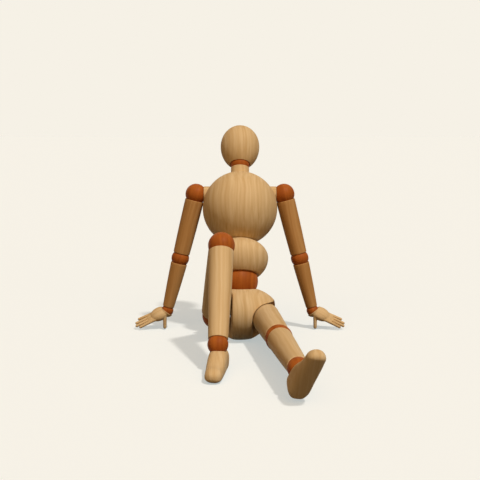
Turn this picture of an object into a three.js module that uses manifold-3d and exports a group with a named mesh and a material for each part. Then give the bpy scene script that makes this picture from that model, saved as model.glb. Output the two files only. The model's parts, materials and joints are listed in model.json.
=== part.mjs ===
// Wooden artist's mannequin, seated with its hands behind it.
// Millimetres, +Z up, floor at z = 0. The figure faces -Y, so its own left side is on +X.
import * as THREE from 'three';
import { mergeVertices } from 'three/addons/utils/BufferGeometryUtils.js';
import Module from 'manifold-3d';

const wasm = await Module();
wasm.setup();

// Fits
const GAP = 0.3; // clearance round whatever turns in, sits in or passes through a piece
const LIP = 0.12; // flat rim round a limb's socket
const SLOT_MARGIN = 3; // degrees of spare swing at each end of a ball's slot
const GRIP = 6.5; // how deep a link is screwed into wood

// Ball joints: ball radius, radius and half length of the pin across the ball,
// and the angles in degrees between which the joint bends
const NECK = { ball: 7.2, pin: 0.8, half: 4.2, nod: [-14, 26] };
const WAIST = { ball: 13.0, pin: 1.2, half: 7.0, lean: [-12, 26] };
const SHOULDER = { ball: 7.85, pin: 0.9, half: 4.6, splay: [12.5, 62] };
const ELBOW = { ball: 6.6, pin: 0.8, half: 4.3, bend: [-20, 20] };
const WRIST = { ball: 4.5, pin: 0.6, half: 2.5, bend: [2, 55] };
const HIP = { ball: 9.6, pin: 1.1, half: 5.4, rim: 4.6 };
const KNEE = { ball: 8.9, pin: 1.0, half: 5.8, spare: 1 };
const ANKLE = { ball: 6.55, pin: 0.7, half: 3.8, plantar: [-7, 40] };

// Trunk: half sizes, heights of each centre above the one below, and lean from upright
const PELVIS = { width: 28.9, depth: 21.5, height: 19.2, lean: 15.25, centre: 18.7, seat: 0 };
const WAIST_RISE = 23.1;
const BELLY = { radius: 20.5, below: 17.6, above: 14.5, rise: 17.2, lean: 25.75, rim: 4.6, web: 15.1 };
const CHEST = { radius: 27.75, lean: 26.4, pin: 1.2, half: 6.0, tilt: [-8, 8] };
const POST = { radius: 6.8, sunk: 8.0 };
const NECK_RISE = 36.2;
const HEAD = { radius: 14.75, below: 18.9, above: 17.2, rise: 15.5, lean: 35 };

// Shoulder dowel through the chest, hip sockets in the pelvis, and the steel rods in both
const DOWEL = { radius: 5.8, rise: 11.45 };
const SHOULDER_REACH = 32.8;
const HIP_PLACE = { across: 17.35, forward: 1.56, below: 1.88 };
// The pelvis is cut for each thigh from its pose down to standing and out to the side, with a little to spare
const THIGH_DROP = -90;
const THIGH_OUT = 32;
const THIGH_SPARE = 0.4;
const SHOULDER_ROD = { radius: 1.2, headRadius: 2.2, headLong: 1.2 };
const HIP_ROD = { radius: 1.5, headRadius: 2.6, headLong: 1.4 };

// Limbs: joint to joint length, radius at each end, bore for the spring
const UPPER_ARM = { length: 49.6, top: 7.0, end: 6.15, bore: 2.6 };
const FOREARM = { length: 40.9, top: 6.1, end: 4.25, bore: 2.3 };
const THIGH = { length: 69.2, top: 10.2, end: 8.45, bore: 3.2 };
const SHIN = { length: 71.1, top: 8.3, end: 6.3, bore: 3.0 };

// Tension springs, their end eyes and the swivel heads, the last in pin radii of the same ball
const ARM_SPRING = { wire: 0.45, turns: 3, clear: 0.5, lead: 1.8 };
const LEG_SPRING = { wire: 0.55, turns: 3, clear: 0.5, lead: 2.2 };
const SWIVEL = { stem: 1.0, head: 2.1, low: 2.1, high: 3.4 };

// Hand: palm and its cup round the wrist ball, fingers from the thumb side outwards, thumb.
// Foot: distances from the ankle
const PALM = { length: 16.3, width: 12.6, thick: 5.4, start: 1.0, cup: 5.8, rim: 0.2 };
const FINGER = { radius: 1.2, base: 12.5, tips: [24.6, 27.0, 26.4, 23.6], spacing: 2.55, fan: 0.35 };
const THUMB = { radius: 1.25, across: 4.2, along: 5.0, length: 8.7, aim: [0.44, 0.785, 0.405] };
const FOOT = { sole: 16.5, heel: 8.0, toe: 31.0, width: 12.3, toeWidth: 8.8 };
const COLLAR = { half: 6.2, below: 3.0 };
const TOE_CAP = { high: 8.0, long: 6.5, drop: 5.0 };
const INSTEP = { ahead: 10.0, below: 6.0 };
const HEEL_TOP = { behind: 7.4, below: 6.5, back: 10.0 };

// Pose, in degrees; r is the figure's right side
const ARM = { splay: 14.1, back: -1.0 };
const HAND = { fingers: [0.905, -0.12, -0.405], thumbSide: [-0.353, -0.823, -0.443] };
const FOOT_POSE = { plantar: 37.4, toeOut: { r: 7.5, l: 12 } };
const LEG_POSE = {
  r: { heading: -7.15, reach: 84.2, ankle: FOOT.sole },
  l: { heading: 6.3, reach: Infinity, ankle: 16.6 },
};

const beech = new THREE.MeshStandardMaterial({ color: 0xd2ae7a, roughness: 0.5, metalness: 0 });
const stained = new THREE.MeshStandardMaterial({ color: 0x9a5026, roughness: 0.45, metalness: 0 });
const steel = new THREE.MeshStandardMaterial({ color: 0xb4b6b8, roughness: 0.35, metalness: 1 });

const EGG_ROWS = 10;
const BORE = 8;
const KNOB = 12;
const ROUND = 16;
const BROAD = 20;
const FINE = 24;
const HOLLOW = 32;
const SIDES = { r: -1, l: 1 };
const rad = THREE.MathUtils.degToRad;
const deg = THREE.MathUtils.radToDeg;
const V = (x, y, z) => new THREE.Vector3(x, y, z);
const X = V(1, 0, 0);
const Y = V(0, 1, 0);
const Z = V(0, 0, 1);

// A closed solid from a geometry, with its faces pointing out
function solid(geometry) {
  const bare = geometry.clone();
  bare.deleteAttribute('normal');
  bare.deleteAttribute('uv');
  const welded = mergeVertices(bare, 1e-4);
  const points = welded.attributes.position;
  const corner = [V(0, 0, 0), V(0, 0, 0), V(0, 0, 0)];
  const faces = [];
  let volume = 0;
  for (let i = 0; i < welded.index.count; i += 3) {
    const face = [0, 1, 2].map((k) => welded.index.getX(i + k));
    if (new Set(face).size === 3) {
      face.forEach((vertex, k) => corner[k].fromBufferAttribute(points, vertex));
      volume += corner[0].dot(corner[1].cross(corner[2]));
      faces.push(face);
    }
  }
  const outward = faces.map(([a, b, c]) => (volume > 0 ? [a, b, c] : [a, c, b]));
  return new wasm.Manifold(new wasm.Mesh({
    numProp: 3,
    vertProperties: new Float32Array(points.array),
    triVerts: new Uint32Array(outward.flat()),
  }));
}
const fuse = (forms) => forms.map(solid).reduce((all, next) => all.add(next));
const carve = (shape, tools) => tools.map(solid).reduce((rest, tool) => rest.subtract(tool), shape);
const moved = (forms, matrix) => forms.map((form) => form.clone().applyMatrix4(matrix));

function piece(name, shape, material, matrix = new THREE.Matrix4()) {
  const { vertProperties, triVerts } = shape.getMesh();
  const geometry = new THREE.BufferGeometry();
  geometry.setAttribute('position', new THREE.BufferAttribute(new Float32Array(vertProperties), 3));
  geometry.setIndex(new THREE.BufferAttribute(new Uint32Array(triVerts), 1));
  geometry.computeVertexNormals();
  const mesh = new THREE.Mesh(geometry, material);
  mesh.name = name;
  mesh.applyMatrix4(matrix);
  return mesh;
}

// Frames: +Z along one direction, +X as near as it can be to another
function frame(origin, along, across = X) {
  const z = along.clone().normalize();
  const x = across.clone().addScaledVector(z, -across.dot(z)).normalize();
  return new THREE.Matrix4().makeBasis(x, V(0, 0, 0).crossVectors(z, x), z).setPosition(origin);
}
const axis = (matrix, column) => V(0, 0, 0).setFromMatrixColumn(matrix, column);
const inside = (matrix, point) => point.clone().applyMatrix4(matrix);
const shift = (x, y, z) => new THREE.Matrix4().makeTranslation(x, y, z);
const leaning = (degrees) => V(0, Math.sin(rad(degrees)), Math.cos(rad(degrees)));
const spun = (direction, about, degrees) => direction.clone().applyAxisAngle(about, rad(degrees));
const UPSIDE_DOWN = new THREE.Matrix4().makeRotationX(Math.PI);
const QUARTER = new THREE.Matrix4().makeRotationZ(Math.PI / 2);

// Plain forms about local +Z, and a pin along local X
const lathe = (profile, sides) => new THREE.LatheGeometry(
  profile.map(([r, z]) => new THREE.Vector2(r, z)), sides).rotateX(Math.PI / 2);
const rod = (radius, z0, z1, sides = BORE) => new THREE.CylinderGeometry(radius, radius, z1 - z0, sides)
  .rotateX(Math.PI / 2).translate(0, 0, (z0 + z1) / 2);
const pin = (radius, half, sides = BORE) => rod(radius, -half, half, sides).rotateY(Math.PI / 2);
const globe = (radius, sides = ROUND) => new THREE.SphereGeometry(
  radius, sides, Math.round(sides * 0.625)).rotateX(Math.PI / 2);

// Side of an egg, from a height up to its top: one ellipse below its widest ring and another above
function eggSkin(egg, from) {
  const top = egg.rise + egg.above;
  const levels = Array.from({ length: EGG_ROWS }, (_, i) => from
    + (top - from) * (1 - Math.cos(Math.PI * (i + 0.5) / (EGG_ROWS + 0.5))) / 2);
  const half = (z) => egg.radius * Math.sqrt(1
    - ((z - egg.rise) / (z > egg.rise ? egg.above : egg.below)) ** 2);
  return [...[from, ...levels].map((z) => [half(z), z]), [0, top]];
}

// A slot in the local YZ plane for a stem that swings about X, its angles taken from +Z towards +Y
function slot(wide, stem, from, to, reach) {
  const edge = (angle, side) => {
    const a = rad(angle);
    const foot = new THREE.Vector2(Math.cos(a), -Math.sin(a)).multiplyScalar(side * stem);
    return [foot, foot.clone().add(new THREE.Vector2(Math.sin(a), Math.cos(a)).multiplyScalar(reach))];
  };
  const [lowFoot, lowTip] = edge(from - SLOT_MARGIN, -1);
  const [highFoot, highTip] = edge(to + SLOT_MARGIN, 1);
  const outline = new THREE.Shape([lowFoot, lowTip, highTip, highFoot]);
  return new THREE.ExtrudeGeometry(outline, { depth: wide, bevelEnabled: false })
    .translate(0, 0, -wide / 2)
    .applyMatrix4(new THREE.Matrix4().makeBasis(Y, Z, X));
}

// A link is a pin across a ball with a stem along +Z; its cuts let the stem swing
const link = (joint, long) => [pin(joint.pin, joint.half), rod(joint.pin, 0, long)];
const linkCuts = (joint, radius, from, to) => [
  pin(joint.pin + GAP, joint.half + GAP),
  slot(2 * (joint.pin + GAP), joint.pin + GAP, from, to, radius * 1.6),
];

// A swivel is a stem along +Z with a head that turns inside the ball
const swivel = (joint, long) => [
  rod(SWIVEL.head * joint.pin, SWIVEL.low * joint.pin, SWIVEL.high * joint.pin),
  rod(SWIVEL.stem * joint.pin, SWIVEL.low * joint.pin, long),
];
const swivelCuts = (joint) => [
  rod(SWIVEL.head * joint.pin + GAP, SWIVEL.low * joint.pin - GAP, SWIVEL.high * joint.pin + GAP),
  rod(SWIVEL.stem * joint.pin + GAP, SWIVEL.low * joint.pin, joint.ball * 1.6),
];

// A rod along X keeps a ball on each end by a head inside the ball
const headStart = (joint) => joint.pin + 2 * GAP;
function headedRod(joint, bar, reach) {
  const tip = reach - headStart(joint);
  const head = rod(bar.headRadius, tip - bar.headLong, tip).rotateY(Math.PI / 2);
  return [pin(bar.radius, tip), head, head.clone().rotateZ(Math.PI)];
}
const rodCuts = (joint, bar) => [
  rod(bar.headRadius + GAP, headStart(joint) - GAP, headStart(joint) + bar.headLong + GAP),
  rod(bar.radius + GAP, headStart(joint), joint.ball * 1.6),
];

// A turned limb along +Z from one ball to the next, hollow for its spring
function socketArc(socket, inner, outer) {
  const low = Math.asin(inner / socket);
  const high = Math.asin(Math.min(outer / socket, 1));
  return [0, 1, 2, 3].map((i) => low + (high - low) * i / 3)
    .map((a) => [socket * Math.sin(a), socket * Math.cos(a)]);
}
// A rim may be held back along the limb where the limb is wider than its ball
const rimRadius = (joint, radius) => Math.min(radius - LIP,
  Math.sqrt((joint.ball + GAP) ** 2 - (joint.rim ?? 0) ** 2));
function limb(size, near, far) {
  const upper = socketArc(near.ball + GAP, size.bore, rimRadius(near, size.top));
  const lower = socketArc(far.ball + GAP, size.bore, rimRadius(far, size.end))
    .map(([r, z]) => [r, size.length - z]).reverse();
  const profile = [...upper, [size.top, upper[3][1]], [size.end, lower[0][1]], ...lower];
  return fuse([lathe([...profile, profile[0]], ROUND)]);
}

// The wire of a tension spring along +Z: straight, coiled, straight, with each end set aside in X
class SpringPath extends THREE.Curve {
  constructor(ends, coil, radius, turns, aside) {
    super();
    Object.assign(this, { ends, coil, radius, turns, aside });
    this.arcLengthDivisions = 400;
  }

  getPoint(u, target = new THREE.Vector3()) {
    const { smoothstep, clamp, lerp } = THREE.MathUtils;
    const z = lerp(this.ends[0], this.ends[1], u);
    const along = clamp((z - this.coil[0]) / (this.coil[1] - this.coil[0]), 0, 1);
    const ramp = 1 / this.turns;
    const r = this.radius * smoothstep(along, 0, ramp) * (1 - smoothstep(along, 1 - ramp, 1));
    const spin = 2 * Math.PI * this.turns * along;
    const aside = this.aside[0] * (1 - smoothstep(z, this.ends[0], this.coil[0]))
      + this.aside[1] * smoothstep(z, this.coil[1], this.ends[1]);
    return target.set(r * Math.cos(spin) + aside, r * Math.sin(spin), z);
  }
}
const STEPS_PER_TURN = 6;
const WIRE_SIDES = 4;
function wire(path, radius) {
  const section = new THREE.Shape(Array.from({ length: WIRE_SIDES }, (_, i) => new THREE.Vector2(
    Math.cos(2 * Math.PI * i / WIRE_SIDES), Math.sin(2 * Math.PI * i / WIRE_SIDES)).multiplyScalar(radius)));
  const steps = STEPS_PER_TURN * (path.turns + 2);
  return new THREE.ExtrudeGeometry(section, { steps, extrudePath: path, bevelEnabled: false });
}

// Two eyes share a hinge pin, one each side of its middle
const eyeRadius = (joint, spring) => joint.pin + GAP + spring.wire;
const eyeShift = (spring) => spring.wire + GAP / 2;
const eye = (joint, spring, z, side) => new THREE.TorusGeometry(
  eyeRadius(joint, spring), spring.wire, WIRE_SIDES, BORE)
  .rotateY(Math.PI / 2).translate(side * eyeShift(spring), 0, z);
function hingeCuts(joint, spring, [low, high]) {
  const wide = 2 * (eyeShift(spring) + spring.wire + GAP);
  const chamber = eyeRadius(joint, spring) + spring.wire + GAP;
  const stem = spring.wire + GAP;
  return [
    pin(joint.pin + GAP, joint.half + GAP),
    pin(chamber, wide / 2, 12),
    slot(wide, stem, -high, -low, joint.ball * 1.7),
    slot(wide, stem, low, high, joint.ball * 1.7).applyMatrix4(UPSIDE_DOWN),
  ];
}
const coilOf = (size, near, far, spring) => [
  near.ball + spring.lead, size.length - far.ball - spring.lead];
const coilRadius = (size, spring) => size.bore - spring.clear - spring.wire;

// A limb's spring from a cross pin to an eye, and one from an eye to a swivel head
function pinnedSpring(size, near, far, spring, side) {
  const ends = [0, size.length - eyeRadius(far, spring)];
  const path = new SpringPath(ends, coilOf(size, near, far, spring), coilRadius(size, spring),
    spring.turns, [0, side * eyeShift(spring)]);
  return [
    ...moved([pin(near.pin, near.half)], QUARTER),
    wire(path, spring.wire),
    eye(far, spring, size.length, side),
  ];
}
function swivelSpring(size, near, far, spring, side) {
  const coil = coilOf(size, near, far, spring);
  const ends = [eyeRadius(near, spring), coil[1] + 2 * spring.wire];
  const path = new SpringPath(ends, coil, coilRadius(size, spring),
    spring.turns, [side * eyeShift(spring), 0]);
  const end = new THREE.Matrix4().makeTranslation(0, 0, size.length).multiply(UPSIDE_DOWN);
  return [
    eye(near, spring, 0, side),
    wire(path, spring.wire),
    ...moved(swivel(far, size.length - coil[1]), end),
  ];
}

const figure = new THREE.Group();
figure.name = 'artist_mannequin';

// A rigid group has its own frame, and its pieces are placed about that frame
function rigid(matrix, meshes) {
  const group = new THREE.Group();
  group.applyMatrix4(matrix);
  group.add(...meshes);
  figure.add(group);
}

// Pelvis: an egg cut by the waist socket and by the sweep of each thigh, with a flat seat
const pelvisFrame = frame(V(0, 0, PELVIS.centre), leaning(PELVIS.lean));
const hipLocal = (s) => V(s * HIP_PLACE.across, -HIP_PLACE.forward, -HIP_PLACE.below);
// Slope of the thigh and fold of the knee that put an ankle at its height and reach; a leg that can't
// reach so far is straight
function legAngles({ reach, ankle }) {
  const [thigh, shin] = [THIGH.length, SHIN.length];
  const rise = ankle - inside(pelvisFrame, hipLocal(1)).z;
  const straight = thigh + shin;
  const span = Math.min(Math.hypot(reach, rise), straight);
  const atHip = Math.acos(Math.min((thigh ** 2 + span ** 2 - shin ** 2) / (2 * thigh * span), 1));
  const atKnee = Math.acos(Math.max((thigh ** 2 + shin ** 2 - span ** 2) / (2 * thigh * shin), -1));
  return { lift: deg(Math.asin(rise / span) + atHip), knee: 180 - deg(atKnee) };
}
// Direction of a thigh from its hip
function thighLine(tag) {
  const { heading } = LEG_POSE[tag];
  const { lift } = legAngles(LEG_POSE[tag]);
  return V(SIDES[tag] * Math.sin(rad(heading)) * Math.cos(rad(lift)),
    -Math.cos(rad(heading)) * Math.cos(rad(lift)), Math.sin(rad(lift)));
}
function thighSweep(tag) {
  const s = SIDES[tag];
  const clear = THIGH.top + GAP;
  const reach = 3 * PELVIS.width;
  const aim = thighLine(tag).transformDirection(pelvisFrame.clone().invert());
  const low = rad(THIGH_DROP);
  const high = Math.atan2(aim.z, -aim.y) + rad(THIGH_SPARE);
  const toward = (a, length) => new THREE.Vector2(Math.cos(a), Math.sin(a)).multiplyScalar(length);
  const behind = [0, 1, 2, 3, 4, 5, 6].map((i) => toward(
    high + Math.PI / 2 + (low - high + Math.PI) * i / 6, clear));
  const outline = new THREE.Shape([
    ...behind,
    behind[6].clone().add(toward(low, reach)),
    toward((low + high) / 2, 2 * reach),
    behind[0].clone().add(toward(high, reach)),
  ]);
  // The outline's x runs forward and its y runs up; a cone about the hip axis bounds it inwards
  const fan = new THREE.ExtrudeGeometry(outline, { depth: 2 * reach, bevelEnabled: false })
    .translate(0, 0, -reach)
    .applyMatrix4(new THREE.Matrix4().makeBasis(V(0, -1, 0), Z, V(-1, 0, 0)));
  const inward = rad(THIGH_SPARE) - Math.asin(s * aim.x);
  const wall = (r) => -(THIGH.top + GAP) / Math.cos(inward) - r * Math.tan(inward);
  const boss = HIP.rim * Math.cos(inward) - THIGH.top * Math.sin(inward) - GAP;
  const cone = lathe([[0, -HIP.ball], [boss, -HIP.ball], [boss, wall(boss)],
    [2 * reach, wall(2 * reach)], [2 * reach, reach], [0, reach]], BROAD).rotateY(s * Math.PI / 2);
  const [sector, bound] = moved([fan, cone], shift(...hipLocal(s).toArray()));
  return solid(sector).intersect(solid(bound));
}
function pelvisShape() {
  const egg = fuse([globe(1, BROAD).scale(PELVIS.width, PELVIS.depth, PELVIS.height)]);
  const big = 4 * PELVIS.width;
  const floor = new THREE.BoxGeometry(big, big, big).translate(0, 0, PELVIS.seat - big / 2)
    .applyMatrix4(pelvisFrame.clone().invert());
  const body = carve(egg, [
    globe(WAIST.ball + GAP, BROAD).translate(0, 0, WAIST_RISE),
    rod(WAIST.pin + GAP, WAIST_RISE - WAIST.ball - GRIP - GAP, WAIST_RISE),
    floor,
    ...[-1, 1].map((s) => globe(HIP.ball + GAP, BROAD).translate(...hipLocal(s).toArray())),
    pin(HIP_ROD.radius + GAP, PELVIS.width).translate(0, ...hipLocal(0).toArray().slice(1)),
  ]);
  return Object.keys(SIDES).reduce((rest, tag) => rest.subtract(thighSweep(tag)), body);
}
rigid(pelvisFrame, [
  piece('pelvis', pelvisShape(), beech),
  piece('hip_rod', fuse(headedRod(HIP, HIP_ROD, HIP_PLACE.across)), steel, shift(...hipLocal(0).toArray())),
  piece('waist_link', fuse(link(WAIST, WAIST.ball + GRIP)), steel,
    shift(0, 0, WAIST_RISE).multiply(UPSIDE_DOWN)),
]);

// Waist ball: the pelvis link swings in it below, the belly's swivel turns in it above
const waistAt = inside(pelvisFrame, V(0, 0, WAIST_RISE));
const bellyFrame = frame(waistAt, leaning(BELLY.lean));
const waistRest = PELVIS.lean - BELLY.lean;
rigid(bellyFrame, [
  piece('waist_ball', carve(fuse([globe(WAIST.ball)]), [
    ...moved(linkCuts(WAIST, WAIST.ball, waistRest + WAIST.lean[0], waistRest + WAIST.lean[1]), UPSIDE_DOWN),
    ...swivelCuts(WAIST),
  ]), stained),
]);

// Belly: an egg with a hollow at each end, below for the waist ball and above for the chest
const waistStem = WAIST.ball + GRIP;
const chestStem = CHEST.radius + GRIP;
const chestRise = WAIST.ball + BELLY.web + CHEST.radius;
function bellyShape() {
  const skin = eggSkin(BELLY, BELLY.rim);
  return carve(fuse([lathe([[0, BELLY.rim], ...skin], FINE)]), [
    globe(WAIST.ball + GAP, BROAD),
    rod(SWIVEL.stem * WAIST.pin + GAP, 0, waistStem + GAP),
    globe(CHEST.radius + GAP, HOLLOW).translate(0, 0, chestRise),
    rod(CHEST.pin + GAP, chestRise - chestStem - GAP, chestRise),
  ]);
}
const chestSeat = shift(0, 0, chestRise).multiply(UPSIDE_DOWN).multiply(QUARTER);
rigid(bellyFrame, [
  piece('abdomen', bellyShape(), beech),
  piece('waist_swivel', fuse(swivel(WAIST, waistStem)), steel),
  piece('chest_link', fuse(link(CHEST, chestStem)), steel, chestSeat),
]);

// Chest: a ball that rocks in the belly's hollow and carries the shoulder dowel and the neck post
const chestUp = leaning(CHEST.lean);
const chestFrame = frame(inside(bellyFrame, V(0, 0, chestRise)), chestUp);
const postFoot = CHEST.radius - POST.sunk;
const dowelEnd = SHOULDER_REACH - Math.sqrt((SHOULDER.ball + GAP) ** 2 - (DOWEL.radius - LIP) ** 2);
const dowelShift = shift(0, 0, DOWEL.rise);
const neckShift = shift(0, 0, NECK_RISE);
const chestTurn = new THREE.Matrix4().makeRotationX(rad(CHEST.lean - BELLY.lean))
  .multiply(UPSIDE_DOWN).multiply(QUARTER);
function chestShape() {
  return carve(fuse([globe(CHEST.radius, BROAD)]), [
    ...moved(linkCuts(CHEST, CHEST.radius, ...CHEST.tilt), chestTurn),
    rod(POST.radius + GAP, postFoot - GAP, 2 * CHEST.radius, ROUND),
    pin(DOWEL.radius + GAP, 2 * CHEST.radius, ROUND).translate(0, 0, DOWEL.rise),
  ]);
}
function postShape() {
  const socket = NECK.ball + GAP;
  const top = NECK_RISE - Math.sqrt(socket ** 2 - (POST.radius - LIP) ** 2);
  return carve(fuse([rod(POST.radius, postFoot, top, ROUND)]), [
    globe(socket).translate(0, 0, NECK_RISE),
    rod(SWIVEL.stem * NECK.pin + GAP, NECK_RISE - NECK.ball - GRIP - GAP, NECK_RISE),
  ]);
}
function dowelShape() {
  return carve(fuse([pin(DOWEL.radius, dowelEnd, ROUND)]), [
    pin(SHOULDER_ROD.radius + GAP, SHOULDER_REACH),
    ...[-1, 1].map((s) => globe(SHOULDER.ball + GAP).translate(s * SHOULDER_REACH, 0, 0)),
  ]);
}
rigid(chestFrame, [
  piece('chest', chestShape(), beech),
  piece('shoulder_dowel', dowelShape(), beech, dowelShift),
  piece('shoulder_rod', fuse(headedRod(SHOULDER, SHOULDER_ROD, SHOULDER_REACH)), steel, dowelShift),
  piece('neck_post', postShape(), beech),
  piece('neck_swivel', fuse(swivel(NECK, NECK.ball + GRIP)), steel, neckShift.clone().multiply(UPSIDE_DOWN)),
]);

// Neck ball and head
const neckAt = inside(chestFrame, V(0, 0, NECK_RISE));
const headRest = HEAD.lean - CHEST.lean;
rigid(frame(neckAt, chestUp), [
  piece('neck_ball', carve(fuse([globe(NECK.ball, KNOB)]), [
    ...linkCuts(NECK, NECK.ball, headRest - NECK.nod[1], headRest - NECK.nod[0]),
    ...moved(swivelCuts(NECK), UPSIDE_DOWN),
  ]), stained),
]);
const headFoot = HEAD.rise - HEAD.below;
rigid(frame(neckAt, leaning(HEAD.lean)), [
  piece('head', carve(fuse([lathe([[0, headFoot], ...eggSkin(HEAD, headFoot).slice(1)], BROAD)]), [
    globe(NECK.ball + GAP),
    rod(NECK.pin + GAP, 0, NECK.ball + GRIP + GAP),
  ]), beech),
  piece('head_link', fuse(link(NECK, NECK.ball + GRIP)), steel),
]);

// Arms
const mirrored = (values, s) => V(s * values[0], values[1], values[2]);
function handShape(s, hinged) {
  const palm = globe(1, KNOB).scale(PALM.width / 2, PALM.thick / 2, PALM.length / 2)
    .translate(0, 0, PALM.start + PALM.length / 2);
  // The cup's rim is square to the middle of the forearm's swing
  const size = 4 * PALM.cup;
  const swing = rad((WRIST.bend[0] + WRIST.bend[1]) / 2);
  const open = new THREE.BoxGeometry(size, size, size).translate(0, 0, size / 2 - PALM.rim)
    .rotateX(Math.PI - swing).applyMatrix4(hinged);
  const cup = carve(fuse([globe(PALM.cup, KNOB)]), [open]);
  const digit = (radius, from, to) => {
    const line = to.clone().sub(from);
    return new THREE.CapsuleGeometry(radius, line.length(), 2, 6).rotateX(Math.PI / 2)
      .translate(0, 0, line.length() / 2).applyMatrix4(frame(from, line));
  };
  const fingers = FINGER.tips.map((tip, i) => {
    const place = 1.5 - i;
    return digit(FINGER.radius, V(place * FINGER.spacing, 0, FINGER.base),
      V(place * (FINGER.spacing + FINGER.fan), 0, tip - FINGER.radius));
  });
  const root = V(THUMB.across, 0, THUMB.along);
  const aim = V(THUMB.aim[0], s * THUMB.aim[1], THUMB.aim[2]).normalize();
  const thumb = digit(THUMB.radius, root, root.clone().addScaledVector(aim, THUMB.length));
  return carve(fuse([palm, thumb, ...fingers]).add(cup), [
    globe(WRIST.ball + GAP),
    rod(WRIST.pin + GAP, 0, WRIST.ball + GRIP + GAP),
  ]);
}
function arm(tag) {
  const s = SIDES[tag];
  const down = V(s * Math.sin(rad(ARM.splay)), Math.cos(rad(ARM.splay)) * Math.sin(rad(ARM.back)),
    -Math.cos(rad(ARM.splay)) * Math.cos(rad(ARM.back)));
  const shoulderAt = inside(chestFrame, V(s * SHOULDER_REACH, 0, DOWEL.rise));
  const elbowAt = shoulderAt.clone().addScaledVector(down, UPPER_ARM.length);
  const wristAt = elbowAt.clone().addScaledVector(down, FOREARM.length);
  const lift = V(0, 0, 0).crossVectors(down, X).multiplyScalar(s);
  const shoulderFrame = frame(shoulderAt, down, lift);
  const inward = frame(V(0, 0, 0), V(-s, 0, 0).transformDirection(shoulderFrame.clone().invert()));
  const rest = deg(Math.asin(s * down.x));
  rigid(shoulderFrame, [
    piece(`shoulder_ball_${tag}`, carve(fuse([globe(SHOULDER.ball, KNOB)]), [
      ...linkCuts(SHOULDER, SHOULDER.ball, rest - SHOULDER.splay[1], rest - SHOULDER.splay[0]),
      ...moved(rodCuts(SHOULDER, SHOULDER_ROD), inward),
    ]), stained),
  ]);
  rigid(frame(shoulderAt, down), [
    piece(`upper_arm_${tag}`, limb(UPPER_ARM, SHOULDER, ELBOW), beech),
    piece(`upper_arm_spring_${tag}`, fuse(pinnedSpring(UPPER_ARM, SHOULDER, ELBOW, ARM_SPRING, s)), steel),
  ]);
  rigid(frame(elbowAt, down), [
    piece(`elbow_ball_${tag}`, carve(fuse([globe(ELBOW.ball, KNOB)]),
      hingeCuts(ELBOW, ARM_SPRING, ELBOW.bend)), stained),
    piece(`elbow_pin_${tag}`, fuse([pin(ELBOW.pin, ELBOW.half)]), steel),
    piece(`forearm_${tag}`, limb(FOREARM, ELBOW, WRIST), beech),
    piece(`forearm_spring_${tag}`, fuse(swivelSpring(FOREARM, ELBOW, WRIST, ARM_SPRING, -s)), steel),
  ]);
  const fingers = mirrored(HAND.fingers, s).normalize();
  const hinge = V(0, 0, 0).crossVectors(down, fingers).normalize();
  rigid(frame(wristAt, down, hinge), [
    piece(`wrist_ball_${tag}`, carve(fuse([globe(WRIST.ball, KNOB)]), [
      ...linkCuts(WRIST, WRIST.ball, -WRIST.bend[1], -WRIST.bend[0]),
      ...moved(swivelCuts(WRIST), UPSIDE_DOWN),
    ]), stained),
  ]);
  const handFrame = frame(wristAt, fingers, mirrored(HAND.thumbSide, s));
  const hinged = handFrame.clone().invert().multiply(frame(wristAt, fingers, hinge));
  rigid(handFrame, [
    piece(`hand_${tag}`, handShape(s, hinged), beech),
    piece(`hand_link_${tag}`, fuse(link(WRIST, WRIST.ball + GRIP)), steel, hinged),
  ]);
}

// Legs
function footShape(toeOut) {
  const { sole, heel, toe, width, toeWidth } = FOOT;
  const side = new THREE.Shape();
  side.moveTo(-heel, -sole);
  side.lineTo(toe, -sole);
  side.absellipse(toe - TOE_CAP.long, TOE_CAP.high - TOE_CAP.drop - sole,
    TOE_CAP.long, TOE_CAP.drop, 0, Math.PI / 2);
  side.lineTo(INSTEP.ahead, -INSTEP.below);
  side.lineTo(COLLAR.half, -COLLAR.below);
  side.lineTo(-COLLAR.half, -COLLAR.below);
  side.lineTo(-HEEL_TOP.behind, -HEEL_TOP.below);
  side.lineTo(-heel, -HEEL_TOP.back);
  const plan = new THREE.Shape();
  plan.absarc(width / 2 - heel, 0, width / 2, Math.PI / 2, 3 * Math.PI / 2, false);
  plan.absarc(toe - toeWidth / 2, 0, toeWidth / 2, -Math.PI / 2, Math.PI / 2, false);
  const upright = new THREE.ExtrudeGeometry(side, { depth: 2 * width, bevelEnabled: false, curveSegments: 5 })
    .translate(0, 0, -width).applyMatrix4(new THREE.Matrix4().makeBasis(V(0, -1, 0), Z, V(-1, 0, 0)));
  const level = new THREE.ExtrudeGeometry(plan, { depth: 2 * sole, bevelEnabled: false, curveSegments: 6 })
    .translate(0, 0, -1.5 * sole).rotateZ(-Math.PI / 2);
  const twist = new THREE.Matrix4().makeRotationZ(rad(toeOut));
  const [profile, outline] = moved([upright, level], twist);
  return carve(solid(profile).intersect(solid(outline)), [
    globe(ANKLE.ball + GAP),
    rod(ANKLE.pin + GAP, -ANKLE.ball - GRIP - GAP, 0),
  ]);
}
// The knees fold a little further than the raised one does
const kneeFold = [0, legAngles(LEG_POSE.r).knee / 2 + KNEE.spare];
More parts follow.
